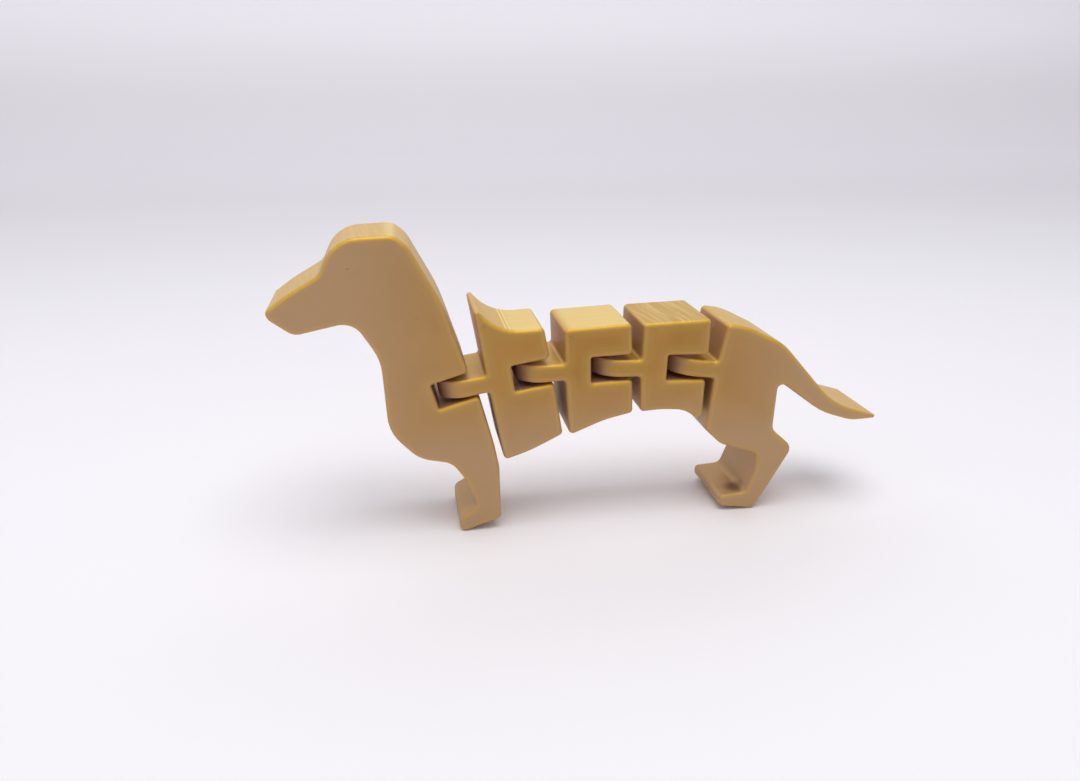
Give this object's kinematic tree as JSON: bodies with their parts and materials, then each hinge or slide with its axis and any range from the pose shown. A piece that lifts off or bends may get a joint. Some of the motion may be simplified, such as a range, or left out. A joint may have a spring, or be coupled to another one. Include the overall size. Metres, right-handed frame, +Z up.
{
  "type": "articulated dachshund toy",
  "caption": "Flat dachshund-shaped toy: a chain of hinged plates whose tongues turn in slots, so that the body bends from side to side.",
  "frame": {"origin": "middle of the toy's bounding box in plan, at the plane that its feet stand on", "axes": "+X from head to tail, +Y from the dog's left side to its right side, +Z up"},
  "size_m": [0.106, 0.0144, 0.0526],
  "materials": {
    "gold_plastic": "silk satin 3-D print, fine layer lines"
  },
  "bodies": {
    "head_section": {"head_section": "gold_plastic"},
    "shoulder_segment": {"shoulder_segment": "gold_plastic"},
    "middle_segment": {"middle_segment": "gold_plastic"},
    "loin_segment": {"loin_segment": "gold_plastic"},
    "hip_section": {"hip_section": "gold_plastic"}
  },
  "joints": [
    {"name": "neck_hinge", "type": "hinge", "parent": "head_section", "child": "shoulder_segment", "pos_m": [-0.02395, 0, 0.02631], "axis": [-0.2807, 0, 0.9598], "range_deg": [-10, 10]},
    {"name": "shoulder_hinge", "type": "hinge", "parent": "shoulder_segment", "child": "middle_segment", "pos_m": [-0.01062, 0, 0.02842], "axis": [-0.1564, 0, 0.9877], "range_deg": [-9, 9]},
    {"name": "waist_hinge", "type": "hinge", "parent": "middle_segment", "child": "loin_segment", "pos_m": [0.00288, 0, 0.02877], "axis": [-0.0262, 0, 0.9997], "range_deg": [-11, 11]},
    {"name": "hip_hinge", "type": "hinge", "parent": "loin_segment", "child": "hip_section", "pos_m": [0.01637, 0, 0.0283], "axis": [0.0349, 0, 0.9994], "range_deg": [-9, 9]}
  ]
}
